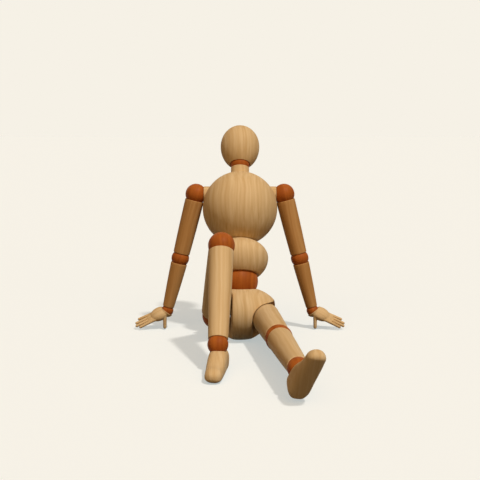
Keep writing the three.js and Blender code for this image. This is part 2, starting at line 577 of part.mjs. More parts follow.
// A block with one face through the knee's centre, to bevel a limb on its bending side, -Y
function bevel(z, towards) {
  const big = 8 * KNEE.ball;
  return new THREE.BoxGeometry(big, big, big)
    .translate(0, 0, towards * big / 2)
    .rotateX(towards * rad(kneeFold[1] + KNEE.spare))
    .translate(0, 0, z);
}
function leg(tag) {
  const s = SIDES[tag];
  const { knee } = legAngles(LEG_POSE[tag]);
  const away = thighLine(tag);
  const hipAt = inside(pelvisFrame, hipLocal(s));
  const thighFrame = frame(hipAt, away);
  const hinge = axis(thighFrame, 0);
  const kneeAt = inside(thighFrame, V(0, 0, THIGH.length));
  const shinFrame = frame(kneeAt, spun(away, hinge, knee), hinge);
  const ankleAt = inside(shinFrame, V(0, 0, SHIN.length));
  const spreadAxis = V(0, 0, 0).crossVectors(away, X).multiplyScalar(s);
  const hipFrame = frame(hipAt, away, spreadAxis);
  const inward = frame(V(0, 0, 0), V(-s, 0, 0).transformDirection(hipFrame.clone().invert()));
  const rest = deg(Math.asin(s * away.x));
  rigid(hipFrame, [
    piece(`hip_ball_${tag}`, carve(fuse([globe(HIP.ball)]), [
      ...linkCuts(HIP, HIP.ball, rest - THIGH_OUT, 0),
      ...moved(rodCuts(HIP, HIP_ROD), inward),
    ]), stained),
  ]);
  rigid(thighFrame, [
    piece(`thigh_${tag}`, carve(limb(THIGH, HIP, KNEE), [bevel(THIGH.length, 1)]), beech),
    piece(`thigh_spring_${tag}`, fuse(pinnedSpring(THIGH, HIP, KNEE, LEG_SPRING, s)), steel),
  ]);
  rigid(frame(kneeAt, spun(away, hinge, knee / 2), hinge), [
    piece(`knee_ball_${tag}`, carve(fuse([globe(KNEE.ball, KNOB)]),
      hingeCuts(KNEE, LEG_SPRING, kneeFold)), stained),
    piece(`knee_pin_${tag}`, fuse([pin(KNEE.pin, KNEE.half)]), steel),
  ]);
  rigid(shinFrame, [
    piece(`shin_${tag}`, carve(limb(SHIN, KNEE, ANKLE), [bevel(0, -1)]), beech),
    piece(`shin_spring_${tag}`, fuse(swivelSpring(SHIN, KNEE, ANKLE, LEG_SPRING, -s)), steel),
  ]);
  rigid(frame(ankleAt, axis(shinFrame, 2), hinge), [
    piece(`ankle_ball_${tag}`, carve(fuse([globe(ANKLE.ball, KNOB)]), [
      ...linkCuts(ANKLE, ANKLE.ball, -ANKLE.plantar[1], -ANKLE.plantar[0]),
      ...moved(swivelCuts(ANKLE), UPSIDE_DOWN),
    ]), stained),
  ]);
  const footDown = spun(axis(shinFrame, 2), hinge, FOOT_POSE.plantar);
  rigid(frame(ankleAt, footDown.clone().negate(), hinge), [
    piece(`foot_${tag}`, footShape(s * FOOT_POSE.toeOut[tag]), beech),
    piece(`foot_link_${tag}`, fuse(link(ANKLE, ANKLE.ball + GRIP)), steel, UPSIDE_DOWN),
  ]);
}
for (const tag of Object.keys(SIDES)) {
  arm(tag);
  leg(tag);
}

export default figure;
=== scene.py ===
"""Looks of a seated wooden artist's mannequin: turned beech pieces on stained ball joints."""

import json
import math

import bmesh
import bpy
import numpy as np
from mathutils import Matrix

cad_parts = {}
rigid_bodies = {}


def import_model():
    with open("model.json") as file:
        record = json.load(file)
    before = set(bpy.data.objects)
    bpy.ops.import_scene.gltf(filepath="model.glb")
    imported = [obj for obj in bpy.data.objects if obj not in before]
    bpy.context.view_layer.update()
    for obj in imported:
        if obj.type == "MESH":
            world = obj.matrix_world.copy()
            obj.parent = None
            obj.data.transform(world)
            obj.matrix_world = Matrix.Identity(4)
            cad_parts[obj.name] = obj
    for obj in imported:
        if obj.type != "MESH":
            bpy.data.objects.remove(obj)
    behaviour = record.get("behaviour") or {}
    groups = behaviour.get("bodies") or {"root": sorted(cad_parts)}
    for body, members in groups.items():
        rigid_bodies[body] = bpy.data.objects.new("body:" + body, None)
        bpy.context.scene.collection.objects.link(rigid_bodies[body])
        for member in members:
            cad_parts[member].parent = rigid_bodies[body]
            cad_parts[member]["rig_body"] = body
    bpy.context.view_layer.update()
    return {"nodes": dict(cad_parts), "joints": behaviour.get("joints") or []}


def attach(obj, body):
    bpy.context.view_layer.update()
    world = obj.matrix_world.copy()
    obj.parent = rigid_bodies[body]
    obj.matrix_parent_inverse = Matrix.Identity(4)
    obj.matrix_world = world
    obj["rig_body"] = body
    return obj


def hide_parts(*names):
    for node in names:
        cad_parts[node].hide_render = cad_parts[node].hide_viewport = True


bl_info = {
    "name": "Artist mannequin",
    "version": (1, 0, 0),
    "blender": (4, 5, 0),
    "location": "3D View > Sidebar > Mannequin",
    "description": "Turned beech and stained ball joints for a jointed wooden figure",
    "category": "Object",
}

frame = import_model()

MM = 0.001
CLEAR = 0.2 * MM  # gap between a ball and the wood round it
SEAM = 0.1 * MM  # gap round a glued post or dowel
SLOT_MARGIN = math.radians(1)  # spare swing of a stem at each end of its slot
KNEE_SPARE = math.radians(1)  # spare fold of each limb at a knee
ROUND = 72  # points round a turned piece
FINE_ROUND = 96  # points round the belly, the head and each section of a foot
POLE = math.radians(0.6)  # a round end starts this far off its axis, and a small fan closes it
BALL_POLE = math.radians(0.5)  # the same for a whole ball
FLAT_POLE = 0.1 * MM  # the same for a flat end
TIP_GAP = 0.004  # the same for a foot's heel and toe, as a share of its sections
SAMPLES = 4000  # heights at which an egg is looked up for its rim
RIM = 0.25 * MM  # flat edge round the socket at the end of a post or dowel
EDGE = 0.2 * MM  # chamfer outside that edge
FINGER_TIP = 0.86  # radius of a finger's tip as a share of its root's
HAND_SKIN, HAND_PASSES = 0.2 * MM, 10  # fineness of a hand's skin, and passes that soften it
PELVIS_SKIN = 0.4 * MM  # fineness of the pelvis's skin
SHARP = math.radians(34)  # edges that turn by more stay crisp
PLANK = np.array((37.0, 53.0, 91.0)) * MM  # from one piece's place in the plank to the next one's
FLOOR_DROP = 0.3 * MM  # floor below the seat, clear of the hands and feet
FLOOR_THICK = 2 * MM
FLOOR_RINGS = 0.05, 40.0, 24  # first and last radius in metres, and how many rings
CLIP = 0.01, 100.0  # nearest and furthest that the camera sees, in metres
SIDES = {"r": -1.0, "l": 1.0}
MATERIALS = {
    "beech": "Beech, turned and satin varnished",
    # the arms' beech is darker than the rest: painted shade, not a different wood
    "arm_shade_beech": "Beech, browner plank, turned",
    "stained_beech": "Beech, stained terracotta",
    "spring_steel": "Steel, drawn wire",
}
SHADED_ARMS = ("upper_arm", "forearm")  # arms, given a darker beech that paints in the shade on them
PIVOT = {j["name"]: np.array(j["pos_m"]) for j in frame["joints"]}
HINGE = {j["name"]: np.array(j["axis"]) for j in frame["joints"]}
RANGE = {j["name"]: np.radians(j["range_deg"]) for j in frame["joints"]}


def number(name, value, description, scale=1.0, **kind):
    """A number property, or one of several numbers that go together; a scale gives the default's unit."""
    if isinstance(value, tuple):
        return bpy.props.FloatVectorProperty(
            name=name, description=description, size=len(value), default=[v * scale for v in value], **kind)
    return bpy.props.FloatProperty(name=name, description=description, default=value * scale, **kind)


def length(name, millimetres, description):
    """A length or several, given in millimetres."""
    return number(name, millimetres, description, MM, unit="LENGTH")


def angle(name, degrees, description):
    """An angle or several, given in degrees."""
    return number(name, degrees, description, math.radians(1), unit="ROTATION")


def direction(name, xyz, description):
    """A direction."""
    return number(name, xyz, description, subtype="DIRECTION")


def colour(name, hex_code, description):
    """A colour, given as an sRGB hex value."""
    return number(name, linear(hex_code), description, min=0.0, max=1.0, subtype="COLOR")


def linear(hex_code):
    """Linear RGBA of an sRGB hex value."""
    srgb = np.array([int(hex_code[i:i + 2], 16) for i in (1, 3, 5)]) / 255
    low, high = srgb / 12.92, ((srgb + 0.055) / 1.055) ** 2.4
    return (*np.where(srgb <= 0.04045, low, high).tolist(), 1.0)


class TrunkSizes(bpy.types.PropertyGroup):
    """Sizes of the pelvis, belly, chest, neck and head"""

    pelvis: length("Pelvis", (28.1, 21.5, 19.2), "Half width, depth and height of the pelvis egg")
    pelvis_lean: angle("Pelvis lean", 15.25, "Lean of the pelvis back from upright")
    pelvis_rise: length("Pelvis rise", 23.1, "From the pelvis centre to the waist ball")
    thigh_drop: angle("Thigh drop", -90, "Lowest slope of a thigh that the pelvis is cut for")
    thigh_spare: angle("Thigh spare", 0.3, "Spare swing above and inside each thigh")
    sanding: bpy.props.IntProperty(name="Sanding", description="Passes that soften the pelvis", default=36)
    belly: length("Belly", (20.5, 17.6, 14.5), "Radius, and heights below and above the widest ring")
    belly_rise: length("Belly rise", 17.2, "From the waist ball to the belly's widest ring")
    belly_rim: length("Belly rim", 4.6, "From the waist ball's centre to the belly's lower rim")
    chest: length("Chest", 27.6, "Radius of the chest ball")
    post: length("Neck post", (6.8, 8.0), "Radius, and depth sunk into the chest")
    dowel: length("Shoulder dowel", 5.8, "Radius of the dowel through the chest")
    head: length("Head", (14.75, 18.9, 17.1), "Radius, and heights below and above the widest ring")
    head_rise: length("Head rise", 15.5, "From the neck ball to the head's widest ring")
    head_lip: length("Head lip", 0.3, "Thickness of the head's lower rim")
    head_lean: angle("Head lean", 35.0, "Lean of the head back from upright")


class LimbSizes(bpy.types.PropertyGroup):
    """Sizes of the balls and of the limbs between them"""

    upper_arm: length("Upper arm", (7.0, 6.15, 2.6), "Radius at each end, and of the bore")
    forearm: length("Forearm", (6.1, 4.25, 2.3), "Radius at each end, and of the bore")
    thigh: length("Thigh", (10.2, 8.45, 3.2), "Radius at each end, and of the bore")
    shin: length("Shin", (8.3, 6.3, 3.0), "Radius at each end, and of the bore")
    neck: length("Neck ball", 7.2, "Radius")
    waist: length("Waist ball", 13.0, "Radius")
    shoulder: length("Shoulder ball", 7.85, "Radius")
    elbow: length("Elbow ball", 6.6, "Radius")
    wrist: length("Wrist ball", 4.5, "Radius")
    hip: length("Hip ball", 9.6, "Radius")
    knee: length("Knee ball", 8.9, "Radius")
    ankle: length("Ankle ball", 6.55, "Radius")
    hip_rim: length("Hip rim", 4.6, "How far the thigh's rim stands off the hip")
    fillet: length("Fillet", 0.5, "Rounding of a limb's rims")
    swell: length("Swell", 0.12, "How far a limb swells at its middle")


class SlotSizes(bpy.types.PropertyGroup):
    """Half widths of the slots that stems swing in, across the stem and along the hinge"""

    waist: length("Waist", (1.5, 1.5), "For the pelvis link")
    chest: length("Chest", (1.5, 1.5), "For the belly link")
    neck: length("Neck", (1.1, 1.1), "For the head link")
    shoulder: length("Shoulder", (1.2, 1.2), "For the upper arm spring")
    elbow: length("Elbow", (0.6, 1.35), "For the springs above and below")
    wrist: length("Wrist", (0.9, 0.9), "For the hand link")
    hip: length("Hip", (1.4, 1.4), "For the thigh spring")
    knee: length("Knee", (0.7, 1.55), "For the springs above and below")
    ankle: length("Ankle", (1.0, 1.0), "For the foot link")


class EndSizes(bpy.types.PropertyGroup):
    """Sizes of the hands and feet"""

    fingers: direction("Fingers", (0.905, -0.12, -0.405), "Where the left hand's fingers point")
    thumb_side: direction("Thumb side", (-0.353, -0.823, -0.443), "From the left hand to its thumb side")
    thumb_aim: direction("Thumb aim", (0.44, 0.785, 0.405), "Thumb in the left hand's own frame")
    web: length("Web", (10.8, 4.4, 14.2), "Width, thickness and length of the web that holds the fingers")
    web_start: length("Web start", 3.0, "From the wrist to the web")
    cup: length("Cup", (5.2, 1.0), "Radius of the cup round the wrist ball, and its rim past the centre")
    palm: length("Palm", (6.1, 4.2, 7.7), "Half width, thickness and length of the egg-shaped palm")
    palm_along: length("Palm along", 6.5, "From the wrist to the middle of the palm")
    finger: length("Finger", (1.2, 12.5, 2.55, 0.35), "Radius, start, spacing and fan at the tips")
    tips: length("Finger tips", (24.6, 27.0, 26.4, 23.6), "From the wrist, index finger first")
    thumb: length("Thumb", (1.5, 4.0, 3.3, 9.0), "Radius, root across and along, and length")
    foot: length("Foot", (16.5, 8.0, 31.5), "Ankle above the sole, ahead of the heel, behind the toe")
    foot_width: length("Foot width", (12.9, 10.6), "Across the ankle and across the toe")
    foot_in: length("Foot in", 1.0, "How far the foot is set towards the other foot")
    collar: length("Collar", 2.4, "Top of the foot below the ankle's centre")
    instep: length("Instep", (4.0, 23.0), "Where the top of the foot starts and stops falling")
    toe_high: length("Toe height", 8.2, "Height of the foot at the toe")
    nose: length("Nose", (7.5, 3.2, 3.8), "Rounding above and below at the toe, and its tip's height")
    tail: length("Tail", (4.5, 2.6, 5.0), "Rounding above and below at the heel, and its tip's height")
    tip_rise: number("Tip rise", 0.9, "Rise of the sole at a tip, as a share of the tip's height")
    widest: number("Widest", 0.4, "Height of a section's widest line, as a share of the section")
    square_top: number("Square top", (2.9, 2.2), "Power of a section's top at the ankle and toe")
    square_sole: number("Square sole", (3.2, 2.4), "Power of a section's sole at the ankle and toe")
    toe_out: angle("Toe out", (7.5, 12.0), "Right and left foot turned outwards")
    plantar: angle("Plantar", 37.4, "Bend of each foot from its shin")


class Finish(bpy.types.PropertyGroup):
    """Colours of the wood, the stain and the steel"""

    beech_pale: colour("Pale beech", "#DABF92", "Early wood of the trunk and legs")
    beech_dark: colour("Dark beech", "#C29F6A", "Late wood and long streaks")
    # these two darken the arms' beech to paint in the shade that falls on them
    arm_shade_pale: colour("Pale shaded arm beech", "#BE915A", "Early wood of the arms' beech, darkened as painted shade")
    arm_shade_dark: colour("Dark shaded arm beech", "#A5753E", "Late wood of the arms' beech, darkened as painted shade")
    fleck: colour("Fleck", "#8E6233", "Fine ray flecks in the beech")
    stain_bright: colour("Bright stain", "#AE6124", "Stain where the wood is open")
    stain_deep: colour("Deep stain", "#904818", "Stain along the grain")
    steel: colour("Steel", "#B4B6B8", "Drawn wire and pins")
    flecks: number("Flecks", (0.14, 0.2), "Strength of the flecks in bare and in stained beech")
    roughness: number("Roughness", (0.6, 0.5), "Of bare and of stained beech")


class StageSettings(bpy.types.PropertyGroup):
    """Floor, light and camera"""

    paper: colour("Paper", "#F6F1E6", "Pale floor and background")
    sun: number("Sun", 2.05, "Strength of the sun")
    sun_tilt: angle("Sun tilt", 32.75, "Sun down from overhead")
    sun_heading: angle("Sun heading", 36.87, "Sun round to the camera's right")
    sun_width: angle("Sun width", 4.0, "Width of the sun, which softens shadows")
    front: number("Front", 1.22, "Strength of the front light")
    front_tilt: angle("Front tilt", 64.0, "Front light down from overhead")
    front_width: angle("Front width", 90.0, "Width of the front light, which leaves no shadow edge")
    front_tint: colour("Front tint", "#FFE2BA", "Warm front light")
    sky: number("Sky", 0.28, "Strength of the sky")
    sky_tint: colour("Sky tint", "#DCA566", "Warm fill light")
    shadow: number("Shadow", 0.68, "Share of the paper left in shadow")
    bounce: number("Bounce", 0.04, "Share of the light that the floor sends back")
    camera: length("Camera", (0.0, -617.7, 146.96), "Place of the camera")
    pitch: angle("Pitch", 6.97, "Camera tilted down from level")
    view: angle("View", 30.63, "Angle that the picture spans")


def unit(vector):
    """A vector of length one."""
    return vector / np.linalg.norm(vector)


def leaning(lean):
    """The direction that leans back from upright by an angle."""
    return np.array([0.0, math.sin(lean), math.cos(lean)])


def turned(vector, axis, theta):
    """A vector turned about an axis: its part along the axis stays, the rest goes round a circle."""
    along = axis * (vector @ axis)
    across = vector - along
    return along + across * math.cos(theta) + np.cross(axis, across) * math.sin(theta)


def stand(origin, along, across=(1.0, 0.0, 0.0)):
    """A piece's own frame: its origin, and its axes as rows, z along one direction and x near another."""
    z = unit(np.asarray(along, float))
    x = unit(np.asarray(across, float) - z * (np.asarray(across, float) @ z))
    return np.asarray(origin, float), np.stack((x, np.cross(z, x), z))


def put(points, at):
    """Points of a piece's own frame in the figure's frame."""
    origin, axes = at
    return origin + points @ axes


def coordinates(mesh):
    """All vertices of a mesh as one array."""
    points = np.empty(len(mesh.vertices) * 3, np.float32)
    mesh.vertices.foreach_get("co", points)
    return points.reshape(-1, 3).astype(float)


def make(name, points, loop=False):
    """Object from a grid whose columns close round.

    Rows close on themselves too for a loop, such as a bored limb; otherwise a fan from the middle of the
    first and of the last row closes the ends. The enclosed volume says which way the faces point."""
    rows, columns, _ = points.shape
    index = np.arange(rows * columns).reshape(rows, columns)
    low = index if loop else index[:-1]
    high = np.roll(index, -1, axis=0) if loop else index[1:]
    faces = np.stack(
        (low, np.roll(low, -1, axis=1), np.roll(high, -1, axis=1), high), axis=-1).reshape(-1, 4).tolist()
    flat = points.reshape(-1, 3)
    if not loop:
        flat = np.vstack((flat, points[0].mean(axis=0), points[-1].mean(axis=0)))
        middle = np.full(columns, rows * columns)
        faces += np.stack((np.roll(index[0], -1), index[0], middle), axis=-1).tolist()
        faces += np.stack((index[-1], np.roll(index[-1], -1), middle + 1), axis=-1).tolist()
    mesh = bpy.data.meshes.new(name)
    mesh.from_pydata(flat.tolist(), [], faces)
    mesh.update()
    mesh.calc_loop_triangles()
    corners = np.empty(len(mesh.loop_triangles) * 3, np.int32)
    mesh.loop_triangles.foreach_get("vertices", corners)
    a, b, c = flat[corners].reshape(-1, 3, 3).transpose(1, 0, 2)
    if np.einsum("ij,ij->", a, np.cross(b, c)) < 0:
        mesh.flip_normals()
    made = bpy.data.objects.new(name, mesh)
    bpy.context.scene.collection.objects.link(made)
    return made


def arc(radius, low, high, centre=0.0, count=14):
    """Profile of a sphere by the angle a from +z: radius sin a out, and centre + radius cos a up."""
    a = np.linspace(low, high, count)
    return np.stack((radius * np.sin(a), centre + radius * np.cos(a)), axis=-1)


def lathe(profile, columns=ROUND):
    """A profile of radius and height carried round the z axis: x = r cos t, y = r sin t."""
    radius, height = np.asarray(profile, float).T[:, :, None]
    t = np.linspace(0, 2 * np.pi, columns, endpoint=False)[None, :]
    return np.stack((radius * np.cos(t), radius * np.sin(t), np.broadcast_to(height, (len(height), columns))),
                    axis=-1)


def ball(radius, rows=40, columns=ROUND):
    """A sphere: an arc from pole to pole, carried round."""
    return lathe(arc(radius, BALL_POLE, np.pi - BALL_POLE, count=rows), columns)


def bar(radius, low, high, columns=ROUND):
    """A plain round bar along z."""
    return lathe([(radius, low), (radius, high)], columns)


def settle(piece):
    """Makes a piece's modifiers part of its mesh."""
    shaped = piece.evaluated_get(bpy.context.evaluated_depsgraph_get())
    before = piece.data
    piece.data = bpy.data.meshes.new_from_object(shaped)
    piece.modifiers.clear()
    bpy.data.meshes.remove(before)
    return piece


def carve(piece, tools):
    """Cuts closed tools out of a piece and removes them."""
    for tool in tools:
        cut = piece.modifiers.new("Cut", "BOOLEAN")
        cut.operation, cut.solver, cut.object = "DIFFERENCE", "EXACT", tool
    settle(piece)
    for tool in tools:
        bpy.data.objects.remove(tool)
    return piece


def melt(piece, fineness, passes):
    """Joins a piece's overlapping forms into one skin and softens its edges, as sanding does."""
    skin = piece.modifiers.new("Skin", "REMESH")
    skin.mode, skin.voxel_size = "VOXEL", fineness
    sand = piece.modifiers.new("Sand", "SMOOTH")
    sand.factor, sand.iterations = 0.5, passes
    return settle(piece)


def joined(name, forms):
    """One object from several closed ones."""
    whole = bmesh.new()
    for form in forms:
        whole.from_mesh(form.data)
        bpy.data.objects.remove(form)
    mesh = bpy.data.meshes.new(name)
    whole.to_mesh(mesh)
    whole.free()
    made = bpy.data.objects.new(name, mesh)
    bpy.context.scene.collection.objects.link(made)
    return made


def dress(piece, node, at, slot_name):
    """Gives a finished piece its grain, material and body, and stands it in for its solid.

    The grain attribute is each point in the piece's own frame, moved on by the piece's place in the list,
    so that no two pieces come from the same spot of the plank."""
    mesh = piece.data
    origin, axes = at
    place = PLANK * (1 + sorted(frame["nodes"]).index(node))
    own = (coordinates(mesh) - origin) @ axes.T + place
    grain = mesh.attributes.new("grain", "FLOAT_VECTOR", "POINT")
    grain.data.foreach_set("vector", own.astype(np.float32).ravel())
    mesh.shade_smooth()
    mesh.set_sharp_from_angle(angle=SHARP)
    mesh.materials.clear()
    # the arms get the darker beech, which paints in their shade
    finish = "arm_shade_beech" if node.startswith(SHADED_ARMS) else slot_name
    mesh.materials.append(bpy.data.materials[MATERIALS[finish]])
    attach(piece, frame["nodes"][node]["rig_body"])
    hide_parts(node)


def add(tree, kind, inputs=None, **settings):
    """One node with its settings; an input is a value or another node's output."""
    made = tree.nodes.new(kind)
    for name, value in settings.items():
        setattr(made, name, value)
    for socket, value in (inputs or {}).items():
        if isinstance(value, bpy.types.NodeSocket):
            tree.links.new(value, made.inputs[socket])
        else:
            made.inputs[socket].default_value = value
    return made


def emptied(made):
    """The emptied node tree of a new material or world."""
    made.use_nodes = True
    made.node_tree.nodes.clear()
    return made.node_tree


def seen(tree):
    """Whether a ray comes from the camera, off a shine or through something clear."""
    paths = add(tree, "ShaderNodeLightPath").outputs
    found = paths["Is Camera Ray"]
    for path in ("Is Glossy Ray", "Is Transmission Ray"):
        found = add(tree, "ShaderNodeMath", {0: found, 1: paths[path]}, operation="MAXIMUM").outputs[0]
    return found


def wood(name, pale, dark, fleck, fleck_share, roughness):
    """Beech: straight streaks along each piece, growth rings cut by the turning, and fine ray flecks.

    Real pores are under 0.1 mm and flecks 2 mm long. The flecks here are coarser, so that they show, and
    stand for both."""
    tree = emptied(bpy.data.materials.new(name))
    own = add(tree, "ShaderNodeAttribute", attribute_name="grain").outputs["Vector"]
    # the grain wanders sideways by about a millimetre over 30 mm of its length
    wander = add(tree, "ShaderNodeTexNoise", {
        "Vector": own, "Scale": 1 / (30 * MM), "Detail": 1.0}).outputs["Color"]
    own = add(tree, "ShaderNodeVectorMath", {0: wander, 1: (6 * MM, 6 * MM, 0), 2: own},
              operation="MULTIPLY_ADD").outputs[0]
    # streaks 1.8 mm wide, 9 mm deep and 120 mm long, as in a flat-sawn plank
    streak = add(tree, "ShaderNodeTexNoise", {
        "Vector": add(tree, "ShaderNodeMapping", {
            "Vector": own, "Scale": (1 / (1.8 * MM), 1 / (9 * MM), 1 / (120 * MM))}).outputs[0],
        "Scale": 1.0, "Detail": 3.0, "Roughness": 0.5, "Distortion": 0.05}).outputs["Fac"]
    # growth rings 9 mm apart; the wave has 20 radians to a unit of scale
    ring = add(tree, "ShaderNodeTexWave", {
        "Vector": add(tree, "ShaderNodeMapping", {"Vector": own, "Scale": (1, 0.35, 0.03)}).outputs[0],
        "Scale": 2 * math.pi / 20 / (9 * MM), "Distortion": 2.0, "Detail": 2.0,
        "Detail Scale": 0.8, "Detail Roughness": 0.5},
        wave_type="RINGS", rings_direction="Z").outputs["Fac"]
    # flecks 0.9 mm wide, 4 mm deep and 40 mm long
    spark = add(tree, "ShaderNodeTexNoise", {
        "Vector": add(tree, "ShaderNodeMapping", {
            "Vector": own, "Scale": (1 / (0.9 * MM), 1 / (4 * MM), 1 / (40 * MM))}).outputs[0],
        "Scale": 1.0, "Detail": 2.0, "Roughness": 0.6}).outputs["Fac"]
    long_grain = add(tree, "ShaderNodeMapRange", {
        "Value": streak, "From Min": 0.18, "From Max": 0.82}, interpolation_type="SMOOTHSTEP").outputs[0]
    late_wood = add(tree, "ShaderNodeMath", {0: ring, 1: 0.1}, operation="MULTIPLY").outputs[0]
    depth = add(tree, "ShaderNodeMath", {0: long_grain, 1: 0.85, 2: late_wood},
                operation="MULTIPLY_ADD", use_clamp=True).outputs[0]
    body = add(tree, "ShaderNodeMix", {0: depth, 6: pale, 7: dark}, data_type="RGBA").outputs[2]
    flecks = add(tree, "ShaderNodeMapRange", {
        "Value": spark, "From Min": 0.58, "From Max": 0.82, "To Max": fleck_share}).outputs[0]
    tone = add(tree, "ShaderNodeMix", {0: flecks, 6: body, 7: fleck}, data_type="RGBA").outputs[2]
    gloss = add(tree, "ShaderNodeMapRange", {
        "Value": depth, "To Min": roughness - 0.06, "To Max": roughness + 0.08}).outputs[0]
    relief = add(tree, "ShaderNodeMath", {0: spark, 1: 0.35, 2: streak}, operation="MULTIPLY_ADD").outputs[0]
    skin = add(tree, "ShaderNodeBump", {
        "Height": relief, "Strength": 0.12, "Distance": 0.15 * MM}).outputs[0]
    # the thin varnish hardly shines, so its specular level is low
    shader = add(tree, "ShaderNodeBsdfPrincipled", {
        "Base Color": tone, "Roughness": gloss, "IOR": 1.5, "Specular IOR Level": 0.08, "Normal": skin})
    add(tree, "ShaderNodeOutputMaterial", {"Surface": shader.outputs[0]})


def drawn_steel(name, tint):
    """Drawn wire: grey metal whose shine is broken by fine marks, drawn coarse at 0.4 mm."""
    tree = emptied(bpy.data.materials.new(name))
    own = add(tree, "ShaderNodeTexCoord").outputs["Object"]
    scratch = add(tree, "ShaderNodeTexNoise", {
        "Vector": own, "Scale": 1 / (0.4 * MM), "Detail": 2.0}).outputs["Fac"]
    gloss = add(tree, "ShaderNodeMapRange", {
        "Value": scratch, "To Min": 0.26, "To Max": 0.42}).outputs[0]
    shader = add(tree, "ShaderNodeBsdfPrincipled", {
        "Base Color": tint, "Metallic": 1.0, "Roughness": gloss})
    add(tree, "ShaderNodeOutputMaterial", {"Surface": shader.outputs[0]})


def slot(joint, stem, sign, radius, half, wide):
    """The path of a stem that swings in a ball.

    In the plane across the hinge it is a fan between the stem's end directions, half a stem wider at each
    side; it is carried along the hinge by its own half width each way."""
    axis = unit(HINGE[joint])
    flat = unit(stem - axis * (stem @ axis))
    side = np.cross(axis, flat)
    low, high = np.sort(sign * RANGE[joint]) + np.array([-SLOT_MARGIN, SLOT_MARGIN])
    q = np.linspace(low, high, 9)[:, None]
    beyond = 1.5 * radius  # outside the ball
    fan = beyond * (np.cos(q) * flat + np.sin(q) * side)
    edge = half * (np.cos([[low], [high]]) * side - np.sin([[low], [high]]) * flat)
    outline = np.vstack((-edge[0], fan[0] - edge[0], fan[1:-1], fan[-1] + edge[1], edge[1]))
    rings = outline[None] + np.array([-wide, wide])[:, None, None] * axis
    return make("slot", rings + PIVOT[joint])


def bored_limb(name, at, span, size, near, far, near_rim, limb):
    """A tapered limb from ball to ball, bored for its spring.

    The profile runs up the near socket, over a rounded rim, along a taper that swells as a half sine, over
    the far rim, down the far socket and back along the bore."""
    top, end, bore = size

    def cup(radius, reach, rim):
        """One end: the socket's arc from the bore to its edge, then a quarter circle round the rim."""
        socket = radius + CLEAR
        edge = min(reach - limb.fillet, math.sqrt(socket ** 2 - rim ** 2))
        hollow = arc(socket, math.asin(bore / socket), math.asin(edge / socket), count=10)
        b = np.linspace(0, np.pi / 2, 7)
        lip = np.stack((reach - limb.fillet * (1 - np.sin(b)),
                        hollow[-1, 1] + limb.fillet * (1 - np.cos(b))), axis=-1)
        return np.vstack((hollow, lip))

    start = cup(near, top, near_rim)
    finish = cup(far, end, 0.0)[::-1]
    finish[:, 1] = span - finish[:, 1]
    t = np.linspace(0, 1, 20)[1:-1, None]
    wall = start[-1] + (finish[0] - start[-1]) * t
    wall[:, 0] += limb.swell * np.sin(np.pi * t[:, 0])
    hole = finish[-1] + (start[0] - finish[-1]) * np.linspace(0, 1, 6)[1:-1, None]
    return make(name, put(lathe(np.vstack((start, wall, finish, hole))), at), loop=True)


def knee_bevel(at, z, towards, fold):
    """A block whose face goes through the knee's centre, tilted about the hinge, to bevel a limb's end."""
    big = 60 * MM  # beyond the limb on every side
    square = np.array([(-1.0, -1.0), (1.0, -1.0), (1.0, 1.0), (-1.0, 1.0)]) * big
    layers = np.stack([np.column_stack((square, np.full(4, h))) for h in (0.0, towards * big)])
    tilt = towards * fold
    y, h = layers[..., 1].copy(), layers[..., 2].copy()
    layers[..., 1] = y * math.cos(tilt) - h * math.sin(tilt)
    layers[..., 2] = y * math.sin(tilt) + h * math.cos(tilt) + z
    return make("bevel", put(layers, at))


def thigh_sweep(at, hip, outward, aim, drop, spare, clear):
    """The space that a thigh sweeps out of the pelvis.

    Round the hip axis the reach is endless from the lowest slope up to the thigh's own, and beyond them it
    is clear / sin d at d past the slope, down to clear from a right angle on. Inwards it is as round as the
    thigh, so that h above its middle it ends at sqrt(clear^2 - h^2), on a cone about the hip axis."""
    phi = np.linspace(-np.pi, np.pi, 240, endpoint=False)
    lifts = drop, math.atan2(aim[2], -aim[1]) + spare
    inward = spare - math.asin(outward * aim[0])
    middle, half = (lifts[0] + lifts[1]) / 2, (lifts[1] - lifts[0]) / 2
    past = np.clip(np.abs((phi - middle + np.pi) % (2 * np.pi) - np.pi) - half, 0, np.pi / 2)
    far = 90 * MM  # beyond the pelvis on every side
    least = 1e-3  # an angle that keeps the reach finite
    core = 0.02  # share of the reach where the rows start
    reach = np.minimum(far, clear / np.sin(np.maximum(past, least)))
    out = np.linspace(core, 1, 40)[:, None] * reach
    height = np.minimum(out * np.sin(past), clear)
    inner = -np.sqrt(clear ** 2 - height ** 2) / math.cos(inward) - out * math.tan(inward)
    across = np.vstack((inner, np.full_like(inner, far)[::-1]))
    round_hip = np.vstack((out, out[::-1]))
    points = np.stack((outward * across, -round_hip * np.cos(phi), round_hip * np.sin(phi)), axis=-1)
    return make("sweep", put(points + hip, at))


def half_egg(z, middle, radius, below, above):
    """Radius of an egg at a height: an ellipse below its widest ring and another above it."""
    tall = np.where(z > middle, above, below)
    return radius * np.sqrt(np.clip(1 - ((z - middle) / tall) ** 2, 0, None))


def hollow_end(radius, ball_radius, centre):
    """Profile of a post's end, hollowed for the ball beyond it: an arc from the rim in to the axis."""
    hollow = ball_radius + CLEAR
    lip = math.asin((radius - RIM) / hollow)
    return arc(hollow, np.pi - lip, np.pi - POLE, centre)


